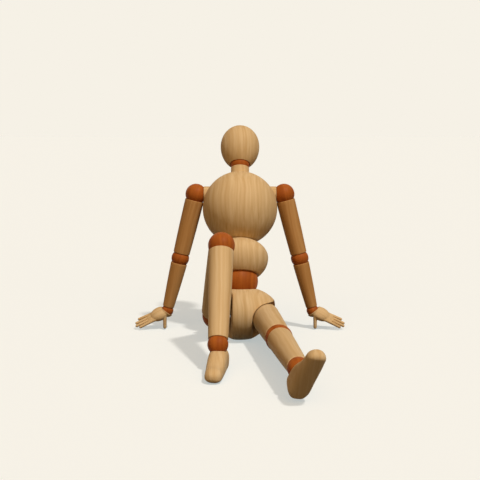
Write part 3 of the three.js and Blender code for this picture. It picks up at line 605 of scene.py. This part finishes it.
class MANNEQUIN_OT_finishes(bpy.types.Operator):
    """Make the wood, stain and steel materials and put the steel on the springs and pins"""

    bl_idname = "mannequin.finishes"
    bl_label = "Finishes"

    def execute(self, context):
        colours = context.scene.mannequin_finish
        bare, stained = zip(colours.flecks, colours.roughness)
        wood(MATERIALS["beech"], colours.beech_pale, colours.beech_dark, colours.fleck, *bare)
        # the arms' material is the darker beech that paints in their shade
        wood(MATERIALS["arm_shade_beech"], colours.arm_shade_pale, colours.arm_shade_dark, colours.fleck, *bare)
        wood(MATERIALS["stained_beech"], colours.stain_bright, colours.stain_deep, colours.stain_deep,
             *stained)
        drawn_steel(MATERIALS["spring_steel"], colours.steel)
        steel = bpy.data.materials[MATERIALS["spring_steel"]]
        for node in frame["nodes"].values():
            node.data.materials.clear()
            node.data.materials.append(steel)
        return {"FINISHED"}


class MANNEQUIN_OT_pelvis(bpy.types.Operator):
    """Make the pelvis: an egg with a flat seat, hollowed for the waist ball, hip balls and thighs"""

    bl_idname = "mannequin.pelvis"
    bl_label = "Pelvis"

    def execute(self, context):
        trunk, limb = context.scene.mannequin_trunk, context.scene.mannequin_limb
        up = leaning(trunk.pelvis_lean)
        at = stand(PIVOT["waist_lean"] - trunk.pelvis_rise * up, up)
        egg = put(ball(1.0, rows=72, columns=120) * np.array(trunk.pelvis), at)
        piece = make("pelvis_wood", egg)
        tools = [make("socket", put(ball(limb.waist + CLEAR), stand(PIVOT["waist_lean"], up)))]
        for tag, s in SIDES.items():
            hip = PIVOT[f"hip_swing_{tag}"]
            aim = unit(PIVOT[f"knee_upper_{tag}"] - hip) @ at[1].T
            tools.append(make("socket", put(ball(limb.hip + CLEAR), stand(hip, up))))
            tools.append(thigh_sweep(at, (hip - at[0]) @ at[1].T, s, aim, trunk.thigh_drop,
                                     trunk.thigh_spare, limb.thigh[0] + CLEAR))
        carve(piece, tools)
        melt(piece, PELVIS_SKIN, trunk.sanding)
        points = coordinates(piece.data)
        points[:, 2] = np.maximum(points[:, 2], 0)
        piece.data.vertices.foreach_set("co", points.astype(np.float32).ravel())
        dress(piece, "pelvis", at, "beech")
        return {"FINISHED"}


class MANNEQUIN_OT_trunk(bpy.types.Operator):
    """Make the belly, the chest ball, the shoulder dowel and the neck post"""

    bl_idname = "mannequin.trunk"
    bl_label = "Trunk"

    def execute(self, context):
        trunk, limb = context.scene.mannequin_trunk, context.scene.mannequin_limb
        waist, centre, neck = PIVOT["waist_turn"], PIVOT["chest_tilt"], PIVOT["neck_turn"]
        self.belly(trunk, limb, waist, centre)
        up = unit(neck - centre)
        at = stand(centre, up)
        chest = make("chest_wood", put(ball(trunk.chest, rows=80, columns=128), at))
        shoulders = [PIVOT[f"shoulder_swing_{tag}"] for tag in SIDES]
        across = stand((shoulders[0] + shoulders[1]) / 2, (1.0, 0.0, 0.0), up)
        reach = abs(shoulders[1][0])
        radius, sunk = trunk.post
        rise = np.linalg.norm(neck - centre)
        carve(chest, [
            slot("chest_tilt", waist - centre, -1, trunk.chest, *context.scene.mannequin_slot.chest),
            make("hole", put(bar(radius + SEAM, trunk.chest - sunk - SEAM, 2 * trunk.chest), at)),
            make("hole", put(bar(trunk.dowel + SEAM, -2 * trunk.chest, 2 * trunk.chest), across)),
        ])
        dress(chest, "chest", at, "beech")
        face = hollow_end(trunk.dowel, limb.shoulder, reach)
        dowel = np.vstack((face[::-1] * (1, -1), (trunk.dowel, EDGE - face[0, 1]),
                           (trunk.dowel, face[0, 1] - EDGE), face))
        dress(make("shoulder_dowel_wood", put(lathe(dowel), across)), "shoulder_dowel", across, "beech")
        face = hollow_end(radius, limb.neck, rise)
        foot = trunk.chest - sunk
        post = np.vstack(((FLAT_POLE, foot), (radius, foot), (radius, face[0, 1] - EDGE), face))
        dress(make("neck_post_wood", put(lathe(post), at)), "neck_post", at, "beech")
        return {"FINISHED"}

    def belly(self, trunk, limb, waist, centre):
        """An egg between two hollows: up the waist socket, round its rim and the egg, into the chest's."""
        at = stand(waist, centre - waist)
        rise = np.linalg.norm(centre - waist)
        radius, below, above = trunk.belly
        socket, hollow = limb.waist + CLEAR, trunk.chest + CLEAR
        z = np.linspace(trunk.belly_rim, trunk.belly_rise + above, SAMPLES)
        egg = half_egg(z, trunk.belly_rise, radius, below, above)
        outside = np.hypot(egg, z - rise) > hollow
        top = np.argmin(outside | (z < trunk.belly_rise))
        keep = np.unique(np.linspace(0, top, 60).astype(int))
        shell = np.stack((egg, z), axis=-1)[keep]
        rim = math.acos(trunk.belly_rim / socket)
        seat = math.asin(min(shell[-1, 0] / hollow, 1))
        saddle = arc(hollow, np.pi - seat, np.pi - POLE, rise)
        profile = np.vstack((arc(socket, POLE, rim), shell, saddle[1:]))
        dress(make("abdomen_wood", put(lathe(profile, FINE_ROUND), at)), "abdomen", at, "beech")


class MANNEQUIN_OT_head(bpy.types.Operator):
    """Make the plain egg head, hollowed for the neck ball"""

    bl_idname = "mannequin.head"
    bl_label = "Head"

    def execute(self, context):
        trunk, limb = context.scene.mannequin_trunk, context.scene.mannequin_limb
        at = stand(PIVOT["head_nod"], leaning(trunk.head_lean))
        radius, below, above = trunk.head
        socket = limb.neck + CLEAR
        z = np.linspace(trunk.head_rise - below, trunk.head_rise + above * math.cos(POLE), SAMPLES)
        egg = half_egg(z, trunk.head_rise, radius, below, above)
        start = np.argmax(np.hypot(egg, z) > socket + trunk.head_lip)
        keep = start + np.unique((np.sin(np.linspace(0, np.pi / 2, 70)) * (len(z) - 1 - start)).astype(int))
        shell = np.stack((egg, z), axis=-1)[keep]
        rim = math.atan2(shell[0, 0], shell[0, 1])
        profile = np.vstack((arc(socket, POLE, rim)[:-1], shell))
        dress(make("head_wood", put(lathe(profile, FINE_ROUND), at)), "head", at, "beech")
        return {"FINISHED"}


def side_pivots(tag):
    """Centres of one side's shoulder, elbow, wrist, hip, knee and ankle balls."""
    joints = "shoulder_lift", "elbow_upper", "wrist_turn", "hip_swing", "knee_upper", "ankle_turn"
    return [PIVOT[f"{joint}_{tag}"] for joint in joints]


class MANNEQUIN_OT_balls(bpy.types.Operator):
    """Make the stained balls, each slotted for the stems that swing in it"""

    bl_idname = "mannequin.balls"
    bl_label = "Balls"

    def execute(self, context):
        trunk, limb = context.scene.mannequin_trunk, context.scene.mannequin_limb
        ends, slots = context.scene.mannequin_end, context.scene.mannequin_slot
        pelvis_up, head_up = leaning(trunk.pelvis_lean), leaning(trunk.head_lean)
        self.ball("waist_ball", limb.waist, unit(PIVOT["chest_tilt"] - PIVOT["waist_turn"]), slots.waist,
                  [("waist_lean", -pelvis_up, -1)])
        self.ball("neck_ball", limb.neck, head_up, slots.neck, [("head_nod", head_up, 1)])
        for tag, s in SIDES.items():
            shoulder, elbow, _, hip, knee, ankle = side_pivots(tag)
            arm, thigh, shin = elbow - shoulder, knee - hip, ankle - knee
            fingers, _ = hand_lines(ends, s)
            self.ball(f"shoulder_ball_{tag}", limb.shoulder, arm, slots.shoulder, [
                (f"shoulder_lift_{tag}", arm, 1)])
            self.ball(f"elbow_ball_{tag}", limb.elbow, arm, slots.elbow, [
                (f"elbow_upper_{tag}", -arm, -1), (f"elbow_lower_{tag}", arm, 1)])
            self.ball(f"wrist_ball_{tag}", limb.wrist, arm, slots.wrist, [(f"wrist_bend_{tag}", fingers, 1)])
            self.ball(f"hip_ball_{tag}", limb.hip, thigh, slots.hip, [(f"hip_spread_{tag}", thigh, 1)])
            self.ball(f"knee_ball_{tag}", limb.knee, unit(thigh) + unit(shin), slots.knee, [
                (f"knee_upper_{tag}", -thigh, -1), (f"knee_lower_{tag}", shin, 1)])
            down = turned(unit(shin), HINGE[f"ankle_bend_{tag}"], ends.plantar)
            self.ball(f"ankle_ball_{tag}", limb.ankle, shin, slots.ankle, [(f"ankle_bend_{tag}", down, 1)])
        return {"FINISHED"}

    def ball(self, node, radius, along, widths, stems):
        """A sphere with its grain along one direction, cut by each stem's slot."""
        at = stand(PIVOT[stems[0][0]], along)
        piece = make(f"{node}_wood", put(ball(radius, rows=48, columns=80), at))
        carve(piece, [slot(joint, unit(stem), sign, radius, *widths) for joint, stem, sign in stems])
        dress(piece, node, at, "stained_beech")


class MANNEQUIN_OT_limbs(bpy.types.Operator):
    """Make the turned arms and legs"""

    bl_idname = "mannequin.limbs"
    bl_label = "Limbs"

    def execute(self, context):
        limb = context.scene.mannequin_limb
        for tag in SIDES:
            shoulder, elbow, wrist, hip, knee, ankle = side_pivots(tag)
            hinge = HINGE[f"knee_upper_{tag}"]
            low, high = RANGE[f"knee_upper_{tag}"]
            fold = high - low + KNEE_SPARE
            self.limb(f"upper_arm_{tag}", shoulder, elbow, limb.upper_arm, limb.shoulder, limb.elbow)
            self.limb(f"forearm_{tag}", elbow, wrist, limb.forearm, limb.elbow, limb.wrist)
            self.limb(f"thigh_{tag}", hip, knee, limb.thigh, limb.hip, limb.knee,
                      rim=limb.hip_rim, hinge=hinge, bevel=(1, fold))
            self.limb(f"shin_{tag}", knee, ankle, limb.shin, limb.knee, limb.ankle,
                      hinge=hinge, bevel=(-1, fold))
        return {"FINISHED"}

    def limb(self, node, start, end, size, near, far, rim=0.0, hinge=(1.0, 0.0, 0.0), bevel=None):
        """A bored limb, bevelled on its bending side where it meets a knee."""
        limb = bpy.context.scene.mannequin_limb
        at = stand(start, end - start, hinge)
        span = np.linalg.norm(end - start)
        piece = bored_limb(f"{node}_wood", at, span, size, near, far, rim, limb)
        if bevel:
            towards, fold = bevel
            carve(piece, [knee_bevel(at, span if towards > 0 else 0.0, towards, fold)])
        dress(piece, node, at, "beech")


def hand_lines(ends, s):
    """Directions of a hand's fingers and of its thumb side."""
    mirror = np.array([s, 1.0, 1.0])
    return unit(mirror * ends.fingers), unit(mirror * ends.thumb_side)


def digit(start, end, radius, at):
    """A finger: a bar from start to end that narrows towards its tip, with a round end at each side."""
    line = end - start
    span = np.linalg.norm(line)
    profile = np.vstack((arc(radius, np.pi - POLE, np.pi / 2, count=10),
                         arc(FINGER_TIP * radius, np.pi / 2, POLE, span, count=10)))
    own = put(lathe(profile, columns=24), stand(start, line, (0.0, 1.0, 0.0)))
    return make("digit", put(own, at))


class MANNEQUIN_OT_hands(bpy.types.Operator):
    """Make the hands: an egg-shaped palm, a web of four straight fingers and a thumb"""

    bl_idname = "mannequin.hands"
    bl_label = "Hands"

    def execute(self, context):
        ends, limb = context.scene.mannequin_end, context.scene.mannequin_limb
        for tag, s in SIDES.items():
            fingers, thumb_side = hand_lines(ends, s)
            at = stand(PIVOT[f"wrist_bend_{tag}"], fingers, thumb_side)
            radius, start, spacing, fan = ends.finger
            web = ball(0.5, columns=64) * np.array(ends.web)
            web[..., 2] += ends.web_start + ends.web[2] / 2
            palm = ball(1.0, columns=64) * np.array(ends.palm)
            palm[..., 2] += ends.palm_along
            cup, opening = self.wrist_cup(ends, tag)
            forms = [make("web", put(web, at)), make("palm", put(palm, at)), cup]
            for k, tip in enumerate(ends.tips):
                place = (len(ends.tips) - 1) / 2 - k
                forms.append(digit(np.array([place * spacing, 0, start]),
                                   np.array([place * (spacing + fan), 0, tip - radius]), radius, at))
            radius, across, along, reach = ends.thumb
            root = np.array([across, 0, along])
            aim = unit(np.array(ends.thumb_aim) * (1.0, s, 1.0))
            forms.append(digit(root, root + aim * reach, radius, at))
            piece = melt(joined(f"hand_{tag}_wood", forms), HAND_SKIN, HAND_PASSES)
            carve(piece, [make("socket", put(ball(limb.wrist + CLEAR), at)), opening])
            dress(piece, f"hand_{tag}", at, "beech")
        return {"FINISHED"}

    def wrist_cup(self, ends, tag):
        """Half a sphere round the wrist ball, and the space on the forearm's side of its rim.

        Both are set for the middle of the wrist's swing."""
        joint = f"wrist_bend_{tag}"
        arm = unit(PIVOT[joint] - PIVOT[f"elbow_upper_{tag}"])
        at = stand(PIVOT[joint], turned(arm, unit(HINGE[joint]), -RANGE[joint].mean()))
        radius, rim = ends.cup
        cup = lathe(arc(radius, POLE, math.acos(rim / radius), count=30), columns=64)
        opening = bar(2 * radius, -3 * radius, rim, columns=64)
        return make("cup", put(cup, at)), make("opening", put(opening, at))


def rounding(distance, reach):
    """How far a quarter ellipse has fallen, from 0 where it starts to 1 at its reach."""
    return 1 - np.sqrt(1 - np.clip(distance / reach, 0, 1) ** 2)


def foot_skin(ends, turn, inward):
    """A foot as sections from heel to toe.

    The plan is a round heel, a taper as t^1.5 and a round toe. The top falls from the collar to the toe as
    3 t^2 - 2 t^3, and top and sole come together in quarter ellipses at both ends. Each section is a
    superellipse, squarer at the ankle than at the toe."""
    sole, heel, toe = ends.foot
    wide, narrow = np.array(ends.foot_width) / 2
    u = np.linspace(TIP_GAP, 1 - TIP_GAP, 84)
    s = -heel + (heel + toe) * (0.5 - 0.5 * np.cos(np.pi * u))
    back, front = wide - heel, toe - narrow
    t = np.clip((s - back) / (front - back), 0, 1)
    plan = wide + (narrow - wide) * t ** 1.5
    plan = np.where(s < back, np.sqrt(np.clip(wide ** 2 - (s - back) ** 2, 0, None)), plan)
    plan = np.where(s > front, np.sqrt(np.clip(narrow ** 2 - (s - front) ** 2, 0, None)), plan)
    t = np.clip((s - ends.instep[0]) / (ends.instep[1] - ends.instep[0]), 0, 1)
    top = -ends.collar - (sole - ends.collar - ends.toe_high) * (3 * t ** 2 - 2 * t ** 3)
    floor = np.full_like(s, -sole)
    for ahead, (above, below, tip) in ((s - toe, ends.nose), (-heel - s, ends.tail)):
        top = top + rounding(ahead + above, above) * (tip - sole - top)
        floor = floor + rounding(ahead + below, below) * tip * ends.tip_rise
    middle = floor + ends.widest * (top - floor)
    v = np.linspace(0, 2 * np.pi, FINE_ROUND, endpoint=False)
    cosine, sine = np.cos(v), np.sin(v)
    share = np.clip(s / toe, 0, 1)[:, None]
    over, under = (2 / (ankle + (tip - ankle) * share) for ankle, tip in (ends.square_top, ends.square_sole))
    power = np.where(sine > 0, over, under)
    x = plan[:, None] * np.sign(cosine) * np.abs(cosine) ** power
    height = np.where(sine > 0, (top - middle)[:, None], (middle - floor)[:, None])
    z = middle[:, None] + height * np.sign(sine) * np.abs(sine) ** power
    x, y = x + inward, -np.broadcast_to(s[:, None], x.shape)
    turn_cos, turn_sin = math.cos(turn), math.sin(turn)
    return np.stack((x * turn_cos - y * turn_sin, x * turn_sin + y * turn_cos, z), axis=-1)


class MANNEQUIN_OT_feet(bpy.types.Operator):
    """Make the feet: rounded blocks with a flat sole, hollowed for the ankle balls"""

    bl_idname = "mannequin.feet"
    bl_label = "Feet"

    def execute(self, context):
        ends, limb = context.scene.mannequin_end, context.scene.mannequin_limb
        for k, (tag, s) in enumerate(SIDES.items()):
            knee, ankle = PIVOT[f"knee_upper_{tag}"], PIVOT[f"ankle_bend_{tag}"]
            hinge = HINGE[f"ankle_bend_{tag}"]
            down = turned(unit(ankle - knee), hinge, ends.plantar)
            at = stand(ankle, -down, hinge)
            skin = foot_skin(ends, s * ends.toe_out[k], -s * ends.foot_in)
            piece = make(f"foot_{tag}_wood", put(skin, at))
            carve(piece, [make("socket", put(ball(limb.ankle + CLEAR), at))])
            grain = stand(ankle, np.cross(down, hinge), hinge)
            dress(piece, f"foot_{tag}", grain, "beech")
        return {"FINISHED"}


class MANNEQUIN_OT_stage(bpy.types.Operator):
    """Make the pale floor, the light and the camera"""

    bl_idname = "mannequin.stage"
    bl_label = "Stage"

    def execute(self, context):
        scene, stage = context.scene, context.scene.mannequin_stage
        scene.view_settings.view_transform = "Standard"
        self.floor(stage)
        self.light(scene, stage)
        camera = bpy.data.objects.new("camera", bpy.data.cameras.new("camera"))
        camera.data.angle = stage.view
        camera.data.clip_start, camera.data.clip_end = CLIP
        camera.location = stage.camera
        camera.rotation_euler = (math.pi / 2 - stage.pitch, 0, 0)
        scene.collection.objects.link(camera)
        scene.camera = camera
        return {"FINISHED"}

    def floor(self, stage):
        """A level disc, just under the figure, in rings of equal steps of the logarithm of the radius."""
        radius = np.geomspace(*FLOOR_RINGS)
        disc = np.stack((radius, np.full_like(radius, -FLOOR_DROP)), axis=-1)
        floor = make("floor", lathe(np.vstack((disc, disc[::-1] - (0, FLOOR_THICK))), columns=64))
        finish = bpy.data.materials.new("Paper, pale and matt")
        tree = emptied(finish)
        watched = seen(tree)
        # the camera sees the paper's own colour in the sun, and a set share of it in shadow
        sunlit = stage.sun * math.cos(stage.sun_tilt) / math.pi
        paper, front = np.array(stage.paper[:3]), np.array(stage.front_tint[:3])
        fill = (stage.sky * np.array(stage.sky_tint[:3])
                + stage.front * math.cos(stage.front_tilt) / math.pi * front)
        lit = paper * (1 - stage.shadow) / sunlit
        own = paper - lit * (sunlit + fill)
        tint = add(tree, "ShaderNodeMix", {
            0: watched, 6: (*stage.bounce * paper, 1), 7: (*lit, 1)}, data_type="RGBA").outputs[2]
        matt = add(tree, "ShaderNodeBsdfDiffuse", {"Color": tint}).outputs[0]
        glow = add(tree, "ShaderNodeEmission", {"Color": (*own, 1), "Strength": watched}).outputs[0]
        both = add(tree, "ShaderNodeAddShader", {0: matt, 1: glow})
        add(tree, "ShaderNodeOutputMaterial", {"Surface": both.outputs[0]})
        floor.data.materials.append(finish)

    def light(self, scene, stage):
        """A sun from the upper right in front, a wide front light and an even sky."""
        for name, energy, width, turn, tint in (
                ("sun", stage.sun, stage.sun_width, (stage.sun_tilt, 0, stage.sun_heading), (1, 1, 1)),
                ("front", stage.front, stage.front_width, (stage.front_tilt, 0, 0), stage.front_tint[:3])):
            lamp = bpy.data.objects.new(name, bpy.data.lights.new(name, "SUN"))
            lamp.data.energy, lamp.data.angle, lamp.data.color = energy, width, tint
            lamp.rotation_euler = turn
            scene.collection.objects.link(lamp)
        world = bpy.data.worlds.new("sky")
        tree = emptied(world)
        watched = seen(tree)
        strength = add(tree, "ShaderNodeMapRange", {
            "Value": watched, "To Min": stage.sky, "To Max": 1.0}).outputs[0]
        tint = add(tree, "ShaderNodeMix", {0: watched, 6: stage.sky_tint, 7: stage.paper},
                   data_type="RGBA").outputs[2]
        sky = add(tree, "ShaderNodeBackground", {"Color": tint, "Strength": strength})
        add(tree, "ShaderNodeOutputWorld", {"Surface": sky.outputs[0]})
        scene.world = world


class MANNEQUIN_PT_panel(bpy.types.Panel):
    """The figure's steps and sizes"""

    bl_idname = "MANNEQUIN_PT_panel"
    bl_label = "Mannequin"
    bl_space_type = "VIEW_3D"
    bl_region_type = "UI"
    bl_category = "Mannequin"

    def draw(self, context):
        for step in STEPS:
            self.layout.operator(step.bl_idname)
        for name, group in GROUPS.items():
            box = self.layout.box()
            box.label(text=group.__doc__)
            for field in group.__annotations__:
                box.prop(getattr(context.scene, name), field)


GROUPS = {
    "mannequin_trunk": TrunkSizes,
    "mannequin_limb": LimbSizes,
    "mannequin_slot": SlotSizes,
    "mannequin_end": EndSizes,
    "mannequin_finish": Finish,
    "mannequin_stage": StageSettings,
}
STEPS = (
    MANNEQUIN_OT_finishes,
    MANNEQUIN_OT_pelvis,
    MANNEQUIN_OT_trunk,
    MANNEQUIN_OT_head,
    MANNEQUIN_OT_balls,
    MANNEQUIN_OT_limbs,
    MANNEQUIN_OT_hands,
    MANNEQUIN_OT_feet,
    MANNEQUIN_OT_stage,
)


def register():
    """Register the classes and hang each group of sizes on the scene."""
    for group in GROUPS.values():
        bpy.utils.register_class(group)
    for step in (*STEPS, MANNEQUIN_PT_panel):
        bpy.utils.register_class(step)
    for name, group in GROUPS.items():
        setattr(bpy.types.Scene, name, bpy.props.PointerProperty(type=group))


def unregister():
    """Undo what register does."""
    for name in GROUPS:
        delattr(bpy.types.Scene, name)
    for step in (MANNEQUIN_PT_panel, *reversed(STEPS)):
        bpy.utils.unregister_class(step)
    for group in reversed(GROUPS.values()):
        bpy.utils.unregister_class(group)


def main():
    register()
    for step in STEPS:
        family, name = step.bl_idname.split(".")
        getattr(getattr(bpy.ops, family), name)()


if __name__ == "__main__":
    main()
